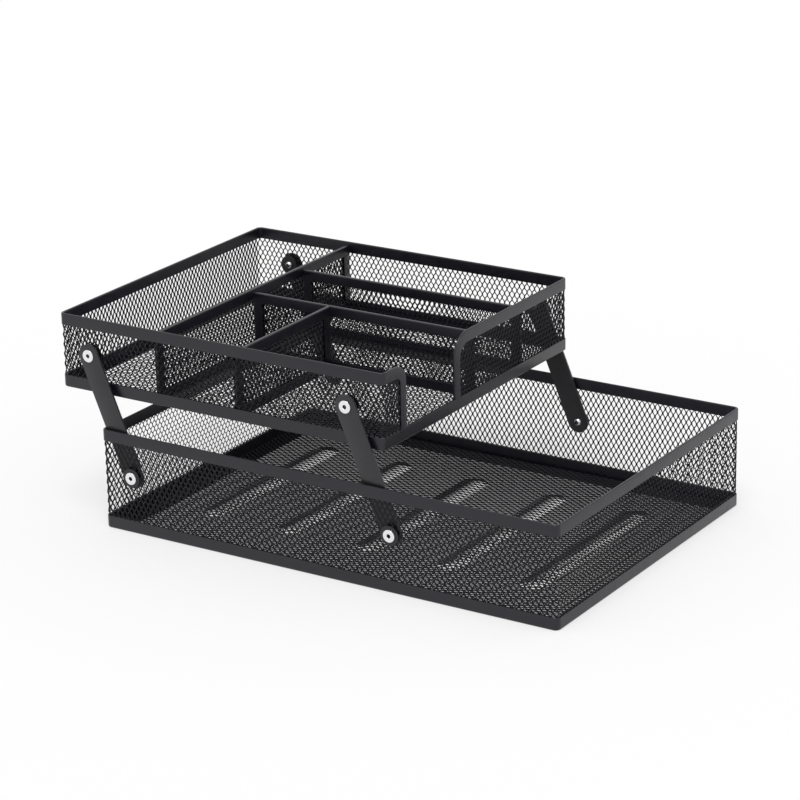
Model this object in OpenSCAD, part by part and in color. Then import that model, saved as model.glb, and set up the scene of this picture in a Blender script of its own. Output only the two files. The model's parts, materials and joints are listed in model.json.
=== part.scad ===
// Two-tier desk organizer of black expanded metal: a paper tray, and a sectioned tray that swings
// over it on four flat links and nests inside it.
// Millimetres, +Z up, +X to the front. The origin is on the desk, under the middle of the whole.

/* [Lower tray] */
// Outside length of the lower tray, rear to front
tray_l = 350; // [330:1:420]
// Outside width of the lower tray
tray_w = 246; // [236:1:320]
// Height of the lower tray
tray_h = 70; // [64:1:84]
// Outside corner radius of both trays, seen from above
corner_r = 4; // [3:0.5:8]

/* [Upper tray] */
// Outside length of the upper tray
upper_l = 257; // [236:1:262]
// Height of the upper tray
upper_h = 51.7; // [46:0.1:60]
// Clear length of the rear bin, across the whole tray
rear_bin_l = 75.4; // [50:0.1:100]
// Clear width of the slot along the far wall
far_slot_w = 57; // [45:0.1:75]
// Clear width of the middle slot
middle_slot_w = 57; // [40:0.1:66]
// Clear length of the small bin behind the mouth bin
small_bin_l = 60.5; // [40:0.1:90]
// How far the divider across the tray stays below the top rim
cross_drop = 2.2; // [0:0.1:5]
// How far the other dividers stay below the top rim
low_drop = 4.5; // [0:0.1:8]

/* [Mouth in the front wall] */
// Width of the flange that is left at the near end of the front wall
mouth_flange_w = 27; // [25:0.5:32]
// Clear width of the mouth
mouth_w = 57.5; // [40:0.5:66]
// Radius of the rim where it turns down at the near end of the mouth
mouth_near_r = 12; // [8.5:0.5:14]
// Radius of the rim where it turns down at the far end of the mouth
mouth_far_r = 17.5; // [8.5:0.5:19]
// Width of the folded strip down each side of the mouth
mouth_edge_w = 7; // [4:0.5:10]

/* [Folded rims] */
// Thickness of the strip that is folded over the edge of the mesh
strip_t = 0.5; // [0.4:0.05:0.8]
// Height of the top rims
rim_h = 8; // [6:0.5:10]
// Height of the bottom rims
foot_h = 8.5; // [6:0.5:10]
// Width of the ledge inside the bottom rims that the base mesh lies on
ledge_w = 4; // [2:0.5:6]
// Width of the folded frames of the dividers
frame_w = 7; // [5:0.5:10]
// Thickness of the folded frames of the dividers
frame_t = 2.6; // [2:0.1:4]

/* [Mesh] */
// Thickness of the expanded sheet
mesh_t = 0.8; // [0.6:0.05:1.2]
// Long way of one diamond, centre to centre
cell_l = 24; // [20:1:30]
// Short way of one diamond, centre to centre
cell_w = 14; // [12:1:18]
// Width of the strand between two diamonds
strand_w = 2.8; // [2:0.1:4]

/* [Base ribs] */
// Number of ribs pressed up in the base of the lower tray
rib_count = 5; // [3:1:5]
// Distance between neighbouring ribs
rib_pitch = 62.5; // [40:0.5:66]
// Width of a rib
rib_w = 17; // [12:0.5:22]
// Length of a rib, across the tray
rib_l = 150; // [100:1:180]
// Height of a rib above the base
rib_h = 1.7; // [1.5:0.1:3]

/* [Links] */
// Distance between the two pivots of a link
link_l = 86.3; // [84:0.1:90]
// Width of a link
link_w = 15.6; // [13:0.1:17]
// Thickness of a link
link_t = 1.5; // [1.2:0.1:1.8]
// Distance from the rear end of the lower tray to its rear pivots
pivot_x = 23.5; // [23:0.1:26]
// Height of the lower pivots above the desk
pivot_z = 39; // [37:0.5:42]
// Distance from the rear end of the upper tray to its rear pivots
upper_pivot_x = 26.5; // [25:0.1:28]
// Distance from the front end of the upper tray to its front pivots
upper_front_x = 26.5; // [24:0.1:30]
// Height of the upper pivots above the bottom of the upper tray
upper_pivot_z = 26.8; // [25:0.1:28]

/* [Rivets, washers and spacers] */
// Diameter of a rivet's shank
shank_d = 4; // [3.2:0.1:5]
// Diameter of a rivet's flanged head
head_d = 8.9; // [8:0.1:10]
// Thickness of a rivet's flanged head
head_t = 0.8; // [0.6:0.05:1]
// Diameter of the hole in a rivet's head
head_hole_d = 2.4; // [1.6:0.1:2.8]
// Depth of the hole in a rivet's head
head_hole_h = 1.8; // [1:0.1:3]
// Diameter of a rivet's round end
dome_d = 5.4; // [4.8:0.1:7]
// Height of a rivet's round end
dome_h = 2.1; // [1.5:0.1:2.4]
// Diameter of the washers against the mesh
washer_d = 13.5; // [12:0.5:15]
// Thickness of the washers against the mesh
washer_t = 0.6; // [0.5:0.05:1]
// Diameter of the spacers between mesh and link
spacer_d = 9; // [7:0.5:11]

/* [Fits] */
// Radial play of a link on its rivet
pivot_play = 0.08; // [0.04:0.01:0.1]
// Sideways play of a link at each of its faces
side_play = 0.1; // [0.05:0.05:0.2]
// Gap between parts that move past each other
moving_gap = 0.3; // [0.2:0.05:0.5]
// Gap between the rear links and the rear rim that stops them
stop_gap = 0.25; // [0.2:0.05:0.5]

/* [Hidden] */
$fn = 64;

coat = "#2c2c30";
coat_links = "#3c3b41";
coat_washers = "#18181a";
bright_steel = "#dcdcde";

// How far a cutter runs past what it cuts
over = 1;
// Thickness of a folded rim: strip, mesh, strip
band_t = 2 * strip_t + mesh_t;
base_top = strip_t + mesh_t;

// Across the organizer, as distances from its middle plane: wall, link, rivets and upper tray
lower_wall_out = tray_w / 2 - strip_t;
lower_wall_in = lower_wall_out - mesh_t;
link_out = tray_w / 2 - band_t - moving_gap - head_t - side_play;
link_in = link_out - link_t;
upper_w = 2 * (link_in - side_play - dome_h - moving_gap);
upper_wall_out = upper_w / 2 - strip_t;
upper_wall_in = upper_wall_out - mesh_t;
upper_clear = upper_w / 2 - band_t;

// The links lean back until their rear edges meet the rear rim, where it bends into the side
bend_in = max(link_out - tray_w / 2 + corner_r, 0);
pivot_span = upper_l - upper_pivot_x - upper_front_x;
stop_x = pivot_x - corner_r + leg_of(corner_r - band_t, bend_in) - stop_gap;
stop_z = tray_h - pivot_z;
lean = atan2(stop_x, stop_z) - asin(link_w / 2 / norm([stop_x, stop_z]));
upper_x = pivot_x - link_l * sin(lean) - upper_pivot_x;
upper_z = pivot_z + link_l * cos(lean) - upper_pivot_z;
// Place of the lower tray's rear end, so that the origin is under the middle of the whole
rear_x = -(tray_l + upper_x) / 2;

// Leg of a right triangle whose longest side and other leg are given
function leg_of(long, leg) = sqrt(long * long - leg * leg);

// Diamonds: what is cut out of each cell
hole_share = 1 - strand_w * norm([cell_w, cell_l]) / (cell_w * cell_l);
hole_w = cell_w * hole_share;
hole_l = cell_l * hole_share;

// Dividers of the upper tray
cross_x = band_t + rear_bin_l;
long_x = cross_x + frame_t;
long_l = upper_l - band_t - long_x;
far_y = upper_clear - far_slot_w;
near_y = far_y - frame_t - middle_slot_w;
short_x = long_x + small_bin_l;
short_l = near_y - frame_t + upper_clear;
cross_h = upper_h - base_top - cross_drop;
low_h = upper_h - base_top - low_drop;

// Mouth: its two ends, and the length of rim that turns down at each
mouth_near_y = mouth_flange_w - upper_w / 2;
mouth_far_y = mouth_near_y + mouth_w;
hook_l = mouth_flange_w - corner_r - over;

// Rivets' round ends are caps of a sphere
dome_r = (dome_d * dome_d / 4 + dome_h * dome_h) / (2 * dome_h);
// Ribs are arcs of a circle in section
rib_r = (rib_w * rib_w / 4 + rib_h * rib_h) / (2 * rib_h);
rib_axis_z = mesh_t + rib_h - rib_r;
rib_land_w = 2 * sqrt(rib_r * rib_r - rib_axis_z * rib_axis_z) + strand_w;

// ---- Plan shapes ----

// Rounded rectangle from x = 0 to x = l, centred on y = 0
module rounded(l, w, r) {
    translate([r, -w / 2]) square([l - 2 * r, w]);
    translate([0, r - w / 2]) square([l, w - 2 * r]);
    if (r > 0)
        for (x = [r, l - r], y = [r - w / 2, w / 2 - r]) translate([x, y]) circle(r);
}

// Outline of a tray l long and w wide, set in by inset
module outline(l, w, inset) {
    translate([inset, 0]) rounded(l - 2 * inset, w - 2 * inset, max(corner_r - inset, 0));
}

// Ring of thickness t that lies inset in from the outline of a tray
module ring(l, w, inset, t) {
    difference() {
        outline(l, w, inset);
        outline(l, w, inset + t);
    }
}

// What rounds off the corner at the origin of a shape in the first quadrant
module corner_cut(r) {
    difference() {
        translate([-over, -over]) square(r + over);
        translate([r, r]) circle(r);
    }
}

// ---- Expanded sheet ----

// Centres, from the middle of a w x h window, of the diamonds that no land comes within gap of
function cells(w, h, lands, gap) =
    let (ni = ceil(w / cell_w), nj = ceil(h / cell_l))
    [for (k = [0, 1], i = [-ni : ni], j = [-nj : nj])
        let (c = [(i + k / 2) * cell_w, (j + k / 2) * cell_l])
        if (abs(c.x) <= w / 2 && abs(c.y) <= h / 2 && is_clear(c, lands, gap)) c];

function is_clear(c, lands, gap) = len([for (p = lands) if (norm(c - p) < gap) p]) == 0;

// Diamonds of a w x h window about its middle, with their long way along Y
module diamonds(w, h, lands, gap) {
    intersection() {
        square([w, h], center = true);
        for (c = cells(w, h, lands, gap)) translate(c)
            polygon([[hole_w / 2, 0], [0, hole_l / 2], [-hole_w / 2, 0], [0, -hole_l / 2]]);
    }
}

// Sheet from the corner low to the corner high, cut by diamonds in a window and bored at the pivots
module sheet(low, high, window_low, window_high, pivots = []) {
    window = window_high - window_low;
    middle = (window_low + window_high) / 2;
    linear_extrude(mesh_t) difference() {
        translate(low) square(high - low);
        translate(middle)
            diamonds(window.x, window.y, [for (p = pivots) p - middle], (washer_d + hole_l) / 2);
        for (p = pivots) translate(p) circle(d = shank_d);
    }
}

// Sheet of a wall of height h between u0 and u1, whose top and bottom edges are in the rims
module wall_sheet(u0, u1, h, pivots = []) {
    sheet([u0, strip_t], [u1, h - strip_t], [u0 + strand_w, foot_h], [u1 - strand_w, h - rim_h], pivots);
}

// Wall along the near side, between the bends
module long_wall(l, w, h, pivots) {
    translate([0, strip_t + mesh_t - w / 2, 0]) rotate([90, 0, 0])
        wall_sheet(corner_r, l - corner_r, h, pivots);
}

// Bends that join the walls at the four corners
module bends(l, w, h) {
    translate([0, 0, strip_t]) linear_extrude(h - 2 * strip_t) intersection() {
        ring(l, w, strip_t, mesh_t);
        for (x = [0, l - corner_r], y = [-w / 2, w / 2 - corner_r]) translate([x, y]) square(corner_r);
    }
}

// Wall across a tray, between the bends, with one face at x = 0
module short_wall(w, h) {
    rotate([90, 0, 90]) wall_sheet(corner_r - w / 2, w / 2 - corner_r, h);
}

// ---- Folded rims ----

// Strip folded down over the top edge of a tray of height h
module top_rim(l, w, h) {
    translate([0, 0, h - rim_h]) difference() {
        linear_extrude(rim_h) ring(l, w, 0, band_t);
        translate([0, 0, -over]) linear_extrude(rim_h - strip_t + over) ring(l, w, strip_t, mesh_t);
    }
}

// Strip folded up over the bottom edge of the walls
module bottom_rim(l, w) {
    difference() {
        linear_extrude(foot_h) ring(l, w, 0, band_t);
        translate([0, 0, strip_t]) linear_extrude(foot_h) ring(l, w, strip_t, mesh_t);
    }
}

// Flat strip inside the bottom rim that the base mesh lies on
module ledge(l, w) {
    linear_extrude(strip_t) ring(l, w, band_t, ledge_w);
}

// ---- Lower tray ----

rib_xs = [for (i = [0 : rib_count - 1]) tray_l / 2 + (i - (rib_count - 1) / 2) * rib_pitch];
rib_reach = (rib_l - rib_w) / 2;
lower_pivots = [for (dx = [0, pivot_span]) [pivot_x + dx, pivot_z]];

module at_lower() { translate([rear_x, 0, 0]) children(); }

// Solid under the upper face of a rib, or under its lower face when r is less by the sheet
module rib_solid(r) {
    intersection() {
        translate([0, 0, rib_axis_z]) union() {
            rotate([90, 0, 0]) cylinder(r = r, h = 2 * rib_reach, center = true);
            for (y = [-rib_reach, rib_reach]) translate([0, y, 0]) sphere(r);
        }
        translate([-rib_w, -rib_l, 0]) cube([2 * rib_w, 2 * rib_l, rib_r]);
    }
}

module lower_top_rim() { color(coat) at_lower() top_rim(tray_l, tray_w, tray_h); }
module lower_bottom_rim() { color(coat) at_lower() bottom_rim(tray_l, tray_w); }
module lower_ledge() { color(coat) at_lower() ledge(tray_l, tray_w); }

// Flat sheet of a tray's base, with the long way of its diamonds along X
module base_sheet(l, w, lands = []) {
    edge = band_t + ledge_w;
    difference() {
        outline(l, w, band_t);
        translate([l / 2, 0]) rotate(90)
            diamonds(w - 2 * edge, l - 2 * edge, [for (p = lands) [p.y, l / 2 - p.x]], rib_land_w / 2);
    }
}

// Plain ground that the ribs rise from
module rib_grounds() {
    for (x = rib_xs) {
        translate([x, 0]) square([rib_land_w, 2 * rib_reach], center = true);
        for (y = [-rib_reach, rib_reach]) translate([x, y]) circle(d = rib_land_w);
    }
}

module lower_base_mesh() {
    lands = [for (x = rib_xs, y = [-rib_reach : rib_w / 2 : rib_reach]) [x, y]];
    color(coat) at_lower() translate([0, 0, strip_t]) difference() {
        union() {
            linear_extrude(mesh_t) union() {
                base_sheet(tray_l, tray_w, lands);
                rib_grounds();
            }
            for (x = rib_xs) translate([x, 0, 0]) rib_solid(rib_r);
        }
        for (x = rib_xs) translate([x, 0, 0]) rib_solid(rib_r - mesh_t);
    }
}

module lower_wall(side) {
    color(coat) mirror([0, side, 0]) at_lower() long_wall(tray_l, tray_w, tray_h, lower_pivots);
}
module lower_wall_near() { lower_wall(0); }
module lower_wall_far() { lower_wall(1); }
module lower_wall_bends() { color(coat) at_lower() bends(tray_l, tray_w, tray_h); }
module lower_wall_rear() { color(coat) at_lower() translate([strip_t, 0, 0]) short_wall(tray_w, tray_h); }
module lower_wall_front() {
    color(coat) at_lower() translate([tray_l - strip_t - mesh_t, 0, 0]) short_wall(tray_w, tray_h);
}

// ---- Pivots ----

// Children stand on the middle plane at the four pivots and point out to the near and far sides
module at_pivots(x, z) {
    for (side = [0, 1], dx = [0, pivot_span])
        translate([x + dx, 0, z]) mirror([0, side, 0]) rotate([90, 0, 0]) children();
}

module at_lower_pivots() { at_lower() at_pivots(pivot_x, pivot_z) children(); }
module at_upper_pivots() { at_upper() at_pivots(upper_pivot_x, upper_pivot_z) children(); }

// Flat ring on a shank, from one distance to another
module collar(d, from, to) {
    translate([0, 0, from]) linear_extrude(to - from) difference() {
        circle(d = d);
        circle(d = shank_d);
    }
}

// Hollow rivet: round end below from, shank, and a flanged head with its hole above to
module rivet(from, to) {
    difference() {
        union() {
            translate([0, 0, from]) cylinder(d = shank_d, h = to - from);
            translate([0, 0, to]) cylinder(d = head_d, h = head_t);
            intersection() {
                translate([0, 0, from - dome_h + dome_r]) sphere(dome_r);
                translate([0, 0, from - dome_h]) cylinder(d = dome_d, h = dome_h);
            }
        }
        translate([0, 0, to + head_t - head_hole_h]) cylinder(d = head_hole_d, h = head_hole_h + over);
    }
}

module lower_washers() {
    color(coat_washers) at_lower_pivots() collar(washer_d, lower_wall_out, lower_wall_out + washer_t);
}
module lower_spacers() {
    color(coat_washers) at_lower_pivots() collar(spacer_d, link_out + side_play, lower_wall_in);
}
module lower_rivets() {
    color(bright_steel) at_lower_pivots() rivet(link_in - side_play, lower_wall_out + washer_t);
}

// ---- Links ----

// Flat bar that leans back from its lower pivot, on the near side, or on the far side where side is 1
module link(dx, side) {
    color(coat_links) at_lower() translate([pivot_x + dx, 0, pivot_z]) mirror([0, side, 0])
        rotate([90, 0, 0]) rotate(lean) translate([0, 0, link_in]) linear_extrude(link_t) difference() {
            union() {
                for (v = [0, link_l]) translate([0, v]) circle(d = link_w);
                translate([-link_w / 2, 0]) square([link_w, link_l]);
            }
            for (v = [0, link_l]) translate([0, v]) circle(d = shank_d + 2 * pivot_play);
        }
}

module link_rear_near() { link(0, 0); }
module link_rear_far() { link(0, 1); }
module link_front_near() { link(pivot_span, 0); }
module link_front_far() { link(pivot_span, 1); }

// ---- Upper tray ----

upper_pivots = [for (dx = [0, pivot_span]) [upper_pivot_x + dx, upper_pivot_z]];

module at_upper() { translate([rear_x + upper_x, 0, upper_z]) children(); }

// Shape beside the mouth, set in by inset; u runs from the mouth's edge and v from the bottom
module flange(u, r, inset) {
    difference() {
        translate([inset, foot_h]) square([u - inset, upper_h - foot_h - inset]);
        translate([inset, upper_h - inset]) mirror([0, 1]) corner_cut(r - inset);
    }
}

// Rim that turns down beside the mouth, drawn flat with the mouth's edge at u = 0
module hook(r) {
    difference() {
        linear_extrude(band_t) difference() {
            flange(hook_l, r, 0);
            difference() {
                translate([mouth_edge_w, foot_h - over])
                    square([hook_l, upper_h - foot_h - rim_h + over]);
                translate([mouth_edge_w, upper_h - rim_h]) mirror([0, 1]) corner_cut(r - rim_h);
            }
        }
        translate([0, 0, strip_t]) linear_extrude(mesh_t) flange(hook_l + over, r, strip_t);
    }
}

// Children drawn flat beside the mouth come to the near end of the front wall, or to the far end
module at_mouth(far, depth) {
    translate([upper_l - depth, far ? mouth_far_y : mouth_near_y, 0])
        mirror([0, far ? 0 : 1, 0]) rotate([90, 0, 90]) children();
}

module upper_top_rim() {
    color(coat) at_upper() {
        difference() {
            top_rim(upper_l, upper_w, upper_h);
            translate([upper_l - corner_r, mouth_near_y - hook_l, 0])
                cube([corner_r + over, mouth_w + 2 * hook_l, upper_h + over]);
        }
        at_mouth(false, band_t) hook(mouth_near_r);
        at_mouth(true, band_t) hook(mouth_far_r);
    }
}
module upper_bottom_rim() { color(coat) at_upper() bottom_rim(upper_l, upper_w); }
module upper_ledge() { color(coat) at_upper() ledge(upper_l, upper_w); }

module upper_base_mesh() {
    color(coat) at_upper() translate([0, 0, strip_t]) linear_extrude(mesh_t)
        base_sheet(upper_l, upper_w);
}

module upper_wall(side) {
    color(coat) mirror([0, side, 0]) at_upper() long_wall(upper_l, upper_w, upper_h, upper_pivots);
}
module upper_wall_near() { upper_wall(0); }
module upper_wall_far() { upper_wall(1); }
module upper_wall_bends() { color(coat) at_upper() bends(upper_l, upper_w, upper_h); }
module upper_wall_rear() { color(coat) at_upper() translate([strip_t, 0, 0]) short_wall(upper_w, upper_h); }

// Sheet beside the mouth, u long, whose top corner follows the rim
module flange_sheet(u, r) {
    difference() {
        sheet([strip_t, strip_t], [u, upper_h - strip_t],
              [mouth_edge_w, foot_h], [u - strand_w, upper_h - rim_h]);
        translate([strip_t, upper_h - strip_t, -over]) linear_extrude(mesh_t + 2 * over)
            mirror([0, 1]) corner_cut(r - strip_t);
    }
}
module upper_wall_front_near() {
    color(coat) at_upper() at_mouth(false, strip_t + mesh_t)
        flange_sheet(mouth_flange_w - corner_r, mouth_near_r);
}
module upper_wall_front_far() {
    color(coat) at_upper() at_mouth(true, strip_t + mesh_t)
        flange_sheet(upper_w / 2 - corner_r - mouth_far_y, mouth_far_r);
}

// ---- Dividers ----

// Folded frame of a divider u long and h high, drawn flat
module divider_frame(u, h) {
    difference() {
        linear_extrude(frame_t) difference() {
            square([u, h]);
            translate([frame_w, frame_w]) square([u - 2 * frame_w, h - 2 * frame_w]);
        }
        translate([strip_t, strip_t, (frame_t - mesh_t) / 2]) linear_extrude(mesh_t)
            square([u - 2 * strip_t, h - 2 * strip_t]);
    }
}
module divider_mesh(u, h) {
    translate([0, 0, (frame_t - mesh_t) / 2])
        sheet([strip_t, strip_t], [u - strip_t, h - strip_t],
              [frame_w, frame_w], [u - frame_w, h - frame_w]);
}

// Places of the dividers, which are drawn flat and stood up across the tray or along it
module across(x) { at_upper() translate([x, -upper_clear, base_top]) rotate([90, 0, 90]) children(); }
module along(y) { at_upper() translate([long_x, y, base_top]) rotate([90, 0, 0]) children(); }

module cross_divider_frame() { color(coat) across(cross_x) divider_frame(2 * upper_clear, cross_h); }
module cross_divider_mesh() { color(coat) across(cross_x) divider_mesh(2 * upper_clear, cross_h); }
module far_divider_frame() { color(coat) along(far_y) divider_frame(long_l, low_h); }
module far_divider_mesh() { color(coat) along(far_y) divider_mesh(long_l, low_h); }
module near_divider_frame() { color(coat) along(near_y) divider_frame(long_l, low_h); }
module near_divider_mesh() { color(coat) along(near_y) divider_mesh(long_l, low_h); }
module short_divider_frame() { color(coat) across(short_x) divider_frame(short_l, low_h); }
module short_divider_mesh() { color(coat) across(short_x) divider_mesh(short_l, low_h); }

module upper_washers() {
    color(coat_washers) at_upper_pivots() collar(washer_d, upper_wall_in - washer_t, upper_wall_in);
}
module upper_spacers() {
    color(coat_washers) at_upper_pivots() collar(spacer_d, upper_wall_out, link_in - side_play);
}
module upper_rivets() {
    color(bright_steel) at_upper_pivots() rivet(upper_wall_in - washer_t, link_out + side_play);
}

lower_top_rim();
lower_bottom_rim();
lower_ledge();
lower_base_mesh();
lower_wall_near();
lower_wall_far();
lower_wall_rear();
lower_wall_front();
lower_wall_bends();
lower_washers();
lower_spacers();
lower_rivets();
link_rear_near();
link_rear_far();
link_front_near();
link_front_far();
upper_top_rim();
upper_bottom_rim();
upper_ledge();
upper_base_mesh();
upper_wall_near();
upper_wall_far();
upper_wall_rear();
upper_wall_front_near();
upper_wall_front_far();
upper_wall_bends();
cross_divider_frame();
cross_divider_mesh();
far_divider_frame();
far_divider_mesh();
near_divider_frame();
near_divider_mesh();
short_divider_frame();
short_divider_mesh();
upper_washers();
upper_spacers();
upper_rivets();
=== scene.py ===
"""Two-tier desk organizer of black expanded metal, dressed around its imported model.

Folded strip, expanded sheet, flat links, rivets and washers are each drawn as the real thing is
made: a strip is folded and led round the tray, a sheet is slit and stretched, cut to its window
and bent round the corners, and turned parts are spun. Everything is in metres in the model's frame:
+Z up, +X to the front, -Y the near side with the mouth. Every size is read from the model's own
boxes and joints, or is a field of the class that uses it.
"""

import json
import logging
import math
from dataclasses import dataclass, replace
from enum import Enum

import bmesh
import bpy
from mathutils import Matrix, Vector


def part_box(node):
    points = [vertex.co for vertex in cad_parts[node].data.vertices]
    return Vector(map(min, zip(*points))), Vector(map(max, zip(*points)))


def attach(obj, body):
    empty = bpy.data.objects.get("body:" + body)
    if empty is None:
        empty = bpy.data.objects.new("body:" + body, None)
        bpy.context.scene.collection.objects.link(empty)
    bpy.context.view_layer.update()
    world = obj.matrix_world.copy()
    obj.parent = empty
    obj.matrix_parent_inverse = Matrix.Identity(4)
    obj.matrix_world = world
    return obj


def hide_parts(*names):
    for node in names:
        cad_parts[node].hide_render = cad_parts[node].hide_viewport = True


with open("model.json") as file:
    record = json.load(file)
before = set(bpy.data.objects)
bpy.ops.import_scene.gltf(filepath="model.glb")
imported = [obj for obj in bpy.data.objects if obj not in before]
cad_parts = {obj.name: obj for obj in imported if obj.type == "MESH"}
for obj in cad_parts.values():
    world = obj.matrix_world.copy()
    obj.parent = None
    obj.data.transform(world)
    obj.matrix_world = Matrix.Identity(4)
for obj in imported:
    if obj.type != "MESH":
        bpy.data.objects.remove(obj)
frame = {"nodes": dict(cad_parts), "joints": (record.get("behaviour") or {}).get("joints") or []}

MM = 0.001
FORWARD = Vector((1.0, 0.0, 0.0))
ACROSS = Vector((0.0, 1.0, 0.0))
UP = Vector((0.0, 0.0, 1.0))
WELD = 0.002 * MM
CLOCKWISE = (-ACROSS, -FORWARD, ACROSS, FORWARD)
log = logging.getLogger("organizer")


class Shading(Enum):
    """How a piece's faces are shaded."""

    FACETED = 0.0
    ROUNDED = 40.0


class Side(Enum):
    """The two long sides of the organizer, by the sign of Y."""

    NEAR = -1.0
    FAR = 1.0


def placed(name: str, data: bpy.types.ID) -> bpy.types.Object:
    """Puts a new object with its data into the scene."""
    thing = bpy.data.objects.new(name, data)
    bpy.context.scene.collection.objects.link(thing)
    return thing


def vertices_of(made: list) -> list:
    """Picks the vertices out of what a bmesh step made."""
    return [g for g in made if isinstance(g, bmesh.types.BMVert)]


# ---- Finishes ----


class Graph:
    """A material's node tree, with short calls for the nodes that these finishes use."""

    def __init__(self, name: str) -> None:
        """Starts an empty tree with an output.

        Args:
            name: name of the material.
        """
        self.material = bpy.data.materials.new(name)
        self.material.use_nodes = True
        self.tree = self.material.node_tree
        self.tree.nodes.clear()
        self.output = self.add("ShaderNodeOutputMaterial")
        self.place = self.add("ShaderNodeTexCoord").outputs["Object"]

    def add(self, kind: str, **settings: object) -> bpy.types.Node:
        """Adds a node.

        Args:
            kind: the node's type.
            settings: properties to set on it.

        Returns:
            The new node.
        """
        node = self.tree.nodes.new(kind)
        for key, value in settings.items():
            setattr(node, key, value)
        return node

    def link(self, source: bpy.types.NodeSocket, target: bpy.types.NodeSocket) -> None:
        """Joins two sockets."""
        self.tree.links.new(source, target)

    def noise(self, grain: float, detail: float, rough: float = 0.5) -> bpy.types.NodeSocket:
        """Adds noise on object coordinates.

        Args:
            grain: size of the noise's features, in metres.
            detail: how many octaves it has.
            rough: how strong its finer octaves are.

        Returns:
            The noise's factor.
        """
        node = self.add("ShaderNodeTexNoise")
        node.inputs["Scale"].default_value = 1.0 / grain
        node.inputs["Detail"].default_value = detail
        node.inputs["Roughness"].default_value = rough
        self.link(self.place, node.inputs["Vector"])
        return node.outputs["Fac"]

    def ranged(self, value: bpy.types.NodeSocket, low: float, high: float) -> bpy.types.NodeSocket:
        """Spreads the middle of a noise over a range.

        Args:
            value: the noise.
            low: result at the noise's usual low.
            high: result at its usual high.

        Returns:
            The ranged value.
        """
        node = self.add("ShaderNodeMapRange")
        node.inputs["From Min"].default_value = 0.3
        node.inputs["From Max"].default_value = 0.7
        node.inputs["To Min"].default_value = low
        node.inputs["To Max"].default_value = high
        self.link(value, node.inputs["Value"])
        return node.outputs["Result"]

    def blend(self, share: bpy.types.NodeSocket, one: tuple, other: tuple) -> bpy.types.NodeSocket:
        """Mixes two colours by a value.

        Args:
            share: how much of the second colour shows.
            one: the first colour.
            other: the second colour.

        Returns:
            The mixed colour.
        """
        node = self.add("ShaderNodeMix", data_type="RGBA")
        node.inputs[6].default_value = (*one, 1.0)
        node.inputs[7].default_value = (*other, 1.0)
        self.link(share, node.inputs[0])
        return node.outputs[2]

    def bumped(self, steps: list) -> bpy.types.NodeSocket:
        """Stacks bumps on each other.

        Args:
            steps: pairs of a height value and its depth in metres.

        Returns:
            The bumped normal.
        """
        normal = None
        for height, depth in steps:
            node = self.add("ShaderNodeBump")
            node.inputs["Distance"].default_value = depth
            self.link(height, node.inputs["Height"])
            if normal is not None:
                self.link(normal, node.inputs["Normal"])
            normal = node.outputs["Normal"]
        return normal

    def finished(self, surface: bpy.types.NodeSocket) -> bpy.types.Material:
        """Gives the material its surface and hands it over."""
        self.link(surface, self.output.inputs["Surface"])
        return self.material


@dataclass(frozen=True)
class PowderCoat:
    """Baked powder coat: a near-black skin with a fine grain over a soft orange peel."""

    name: str
    colour: tuple = (0.006, 0.0052, 0.0105)
    worn: tuple = (0.009, 0.0082, 0.0135)
    sheen: float = 0.46
    gloss_low: float = 0.27
    gloss_high: float = 0.37
    grain: float = 0.22 * MM
    grain_depth: float = 0.006 * MM
    peel: float = 1.4 * MM
    peel_depth: float = 0.012 * MM

    def material(self) -> bpy.types.Material:
        """Builds the coat's material.

        Returns:
            The material.
        """
        graph = Graph(self.name)
        shader = graph.add("ShaderNodeBsdfPrincipled")
        shader.inputs["Specular IOR Level"].default_value = self.sheen
        cloud = graph.ranged(graph.noise(18 * MM, 3.0), 0.0, 1.0)
        grain = graph.noise(self.grain, 2.0)
        peel = graph.noise(self.peel, 1.0)
        graph.link(graph.blend(cloud, self.colour, self.worn), shader.inputs["Base Color"])
        graph.link(graph.ranged(graph.noise(7 * MM, 4.0, 0.6), self.gloss_low, self.gloss_high),
                   shader.inputs["Roughness"])
        graph.link(graph.bumped([(peel, self.peel_depth), (grain, self.grain_depth)]),
                   shader.inputs["Normal"])
        return graph.finished(shader.outputs["BSDF"])


@dataclass(frozen=True)
class BrightZinc:
    """Bright zinc plate on pressed rivets: pale metal with fine tumbling marks."""

    name: str
    colour: tuple = (0.88, 0.88, 0.9)
    dull: tuple = (0.74, 0.74, 0.77)
    gloss_low: float = 0.18
    gloss_high: float = 0.34

    def material(self) -> bpy.types.Material:
        """Builds the plate's material.

        Returns:
            The material.
        """
        graph = Graph(self.name)
        shader = graph.add("ShaderNodeBsdfPrincipled")
        shader.inputs["Metallic"].default_value = 1.0
        marks = graph.noise(0.5 * MM, 4.0, 0.65)
        graph.link(graph.blend(graph.ranged(marks, 0.0, 1.0), self.colour, self.dull),
                   shader.inputs["Base Color"])
        graph.link(graph.ranged(graph.noise(1.6 * MM, 2.0), self.gloss_low, self.gloss_high),
                   shader.inputs["Roughness"])
        graph.link(graph.bumped([(marks, 0.008 * MM)]), shader.inputs["Normal"])
        return graph.finished(shader.outputs["BSDF"])


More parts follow.
